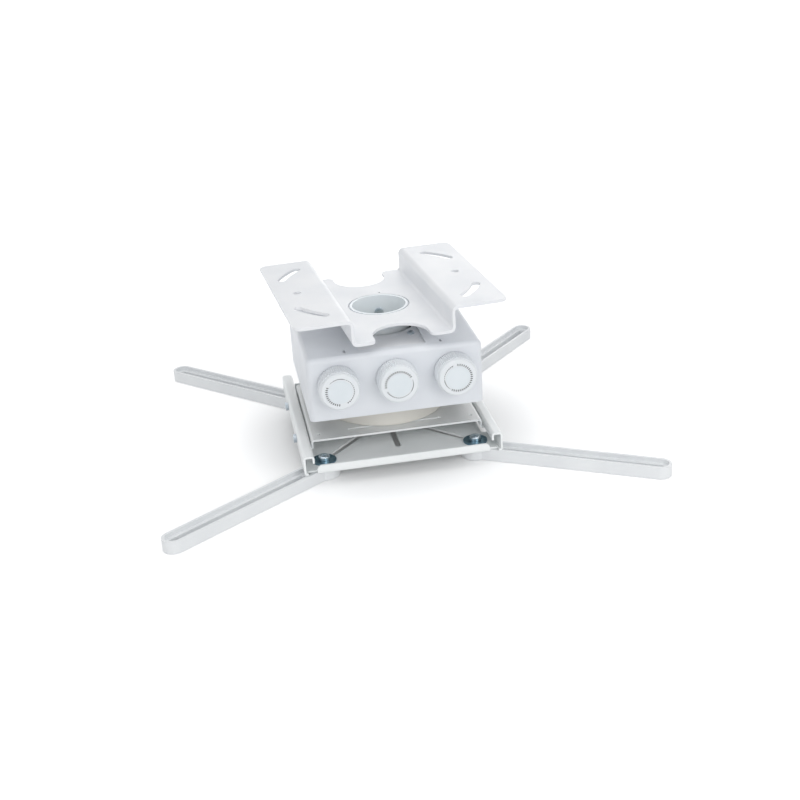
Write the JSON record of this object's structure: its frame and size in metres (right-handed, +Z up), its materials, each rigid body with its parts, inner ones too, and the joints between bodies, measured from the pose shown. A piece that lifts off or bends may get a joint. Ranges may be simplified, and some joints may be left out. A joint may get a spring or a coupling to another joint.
{
  "type": "projector mount",
  "caption": "Ceiling mount for a projector: a hat-folded ceiling plate on a short neck, a geared head with knobs, a sliding plate, a tray and slotted swing arms.",
  "frame": {"origin": "on the neck's turning axis, in the plane that the arms stand on and that meets the projector", "axes": "+X to the right and +Y to the back, seen from the side with the knobs; +Z up, towards the ceiling"},
  "size_m": [0.4915, 0.4301, 0.1665],
  "materials": {
    "white_paint": "fine powder coat",
    "arm_paint": "fine powder coat",
    "pedestal_paint": "satin",
    "zinc": "bright zinc plate",
    "steel": "satin",
    "brass": "machined",
    "knob_plastic": "fine matte",
    "bearing_plastic": "matte"
  },
  "bodies": {
    "tray": {"tray": "white_paint", "lock_screws": "zinc"},
    "clamp_fl": {"clamp_washer_fl": "zinc", "clamp_screw_fl": "zinc"},
    "arm_fl": {"arm_fl": "arm_paint", "arm_nut_fl": "zinc"},
    "clamp_fr": {"clamp_washer_fr": "zinc", "clamp_screw_fr": "zinc"},
    "arm_fr": {"arm_fr": "arm_paint", "arm_nut_fr": "zinc"},
    "clamp_rl": {"clamp_washer_rl": "zinc", "clamp_screw_rl": "zinc"},
    "arm_rl": {"arm_rl": "arm_paint", "arm_nut_rl": "zinc"},
    "clamp_rr": {"clamp_washer_rr": "zinc", "clamp_screw_rr": "zinc"},
    "arm_rr": {"arm_rr": "arm_paint", "arm_nut_rr": "zinc"},
    "slide": {"slide_plate": "white_paint", "pedestal_drum": "pedestal_paint", "tilt_bracket_left": "steel", "tilt_bracket_right": "steel", "bracket_screws": "zinc"},
    "carrier": {"tilt_carrier": "steel", "tilt_pins": "steel"},
    "tilt_drive": {"tilt_shaft": "steel", "tilt_worm": "brass", "tilt_knob": "knob_plastic", "tilt_knob_cap": "knob_plastic"},
    "head": {"head_chassis": "white_paint", "bearing_plate": "steel", "pivot_post": "steel", "head_cover": "white_paint", "roll_pins": "steel", "shaft_bushes": "brass", "worm_bearing": "steel", "top_screws": "zinc", "cover_standoffs": "steel", "cover_screws": "zinc"},
    "roll_drive": {"roll_shaft": "steel", "roll_pinion": "brass", "roll_knob": "knob_plastic", "roll_knob_cap": "knob_plastic"},
    "rotation_drive": {"rotation_shaft": "steel", "rotation_worm": "brass", "rotation_knob": "knob_plastic", "rotation_knob_cap": "knob_plastic"},
    "neck": {"neck_tube": "white_paint", "neck_flange": "steel", "thrust_ring": "bearing_plastic", "rotation_wheel": "brass", "neck_bush": "bearing_plastic", "neck_screw": "zinc", "ceiling_plate": "white_paint", "plate_collar": "white_paint", "collar_screws": "zinc"}
  },
  "joints": [
    {"name": "clamp_slide_fl", "type": "slide", "parent": "tray", "child": "clamp_fl", "axis": [0.6823, 0.7311, 0], "range_m": [0, 0.06]},
    {"name": "arm_turn_fl", "type": "hinge", "parent": "clamp_fl", "child": "arm_fl", "pos_m": [-0.0774, -0.0855, 0.0132], "axis": [0, 0, 1], "range_deg": [-45, 45]},
    {"name": "clamp_slide_fr", "type": "slide", "parent": "tray", "child": "clamp_fr", "axis": [-0.6823, 0.7311, 0], "range_m": [0, 0.06]},
    {"name": "arm_turn_fr", "type": "hinge", "parent": "clamp_fr", "child": "arm_fr", "pos_m": [0.0774, -0.0855, 0.0132], "axis": [0, 0, 1], "range_deg": [-45, 45]},
    {"name": "clamp_slide_rl", "type": "slide", "parent": "tray", "child": "clamp_rl", "axis": [0.6823, -0.7311, 0], "range_m": [0, 0.06]},
    {"name": "arm_turn_rl", "type": "hinge", "parent": "clamp_rl", "child": "arm_rl", "pos_m": [-0.0774, 0.0775, 0.0132], "axis": [0, 0, 1], "range_deg": [-45, 45]},
    {"name": "clamp_slide_rr", "type": "slide", "parent": "tray", "child": "clamp_rr", "axis": [-0.6823, -0.7311, 0], "range_m": [0, 0.06]},
    {"name": "arm_turn_rr", "type": "hinge", "parent": "clamp_rr", "child": "arm_rr", "pos_m": [0.0774, 0.0775, 0.0132], "axis": [0, 0, 1], "range_deg": [-45, 45]},
    {"name": "slide_plate_slide", "type": "slide", "parent": "tray", "child": "slide", "axis": [0, 1, 0], "range_m": [-0.025, 0.025]},
    {"name": "tilt", "type": "hinge", "parent": "slide", "child": "carrier", "pos_m": [0, 0, 0.062], "axis": [1, 0, 0], "range_deg": [-8, 8]},
    {"name": "tilt_knob_turn", "type": "hinge", "parent": "carrier", "child": "tilt_drive", "pos_m": [-0.058, -0.097, 0.096], "axis": [0, 1, 0], "range_deg": [-320, 320]},
    {"name": "roll", "type": "hinge", "parent": "carrier", "child": "head", "pos_m": [0, 0, 0.072], "axis": [0, 1, 0], "range_deg": [-8, 8]},
    {"name": "roll_knob_turn", "type": "hinge", "parent": "head", "child": "roll_drive", "pos_m": [0, -0.097, 0.096], "axis": [0, 1, 0], "range_deg": [-40, 40]},
    {"name": "rotation", "type": "hinge", "parent": "head", "child": "neck", "pos_m": [0, 0, 0.12], "axis": [0, 0, 1], "range_deg": [-24.7, 15.3]},
    {"name": "rotation_knob_turn", "type": "hinge", "parent": "head", "child": "rotation_drive", "pos_m": [0.058, -0.097, 0.096], "axis": [0, 1, 0], "range_deg": [-593, 593]}
  ],
  "couplings": [
    {"joint": "tilt_knob_turn", "follows": "tilt", "ratio": 40},
    {"joint": "roll_knob_turn", "follows": "roll", "ratio": 5},
    {"joint": "rotation_knob_turn", "follows": "rotation", "ratio": 24}
  ]
}
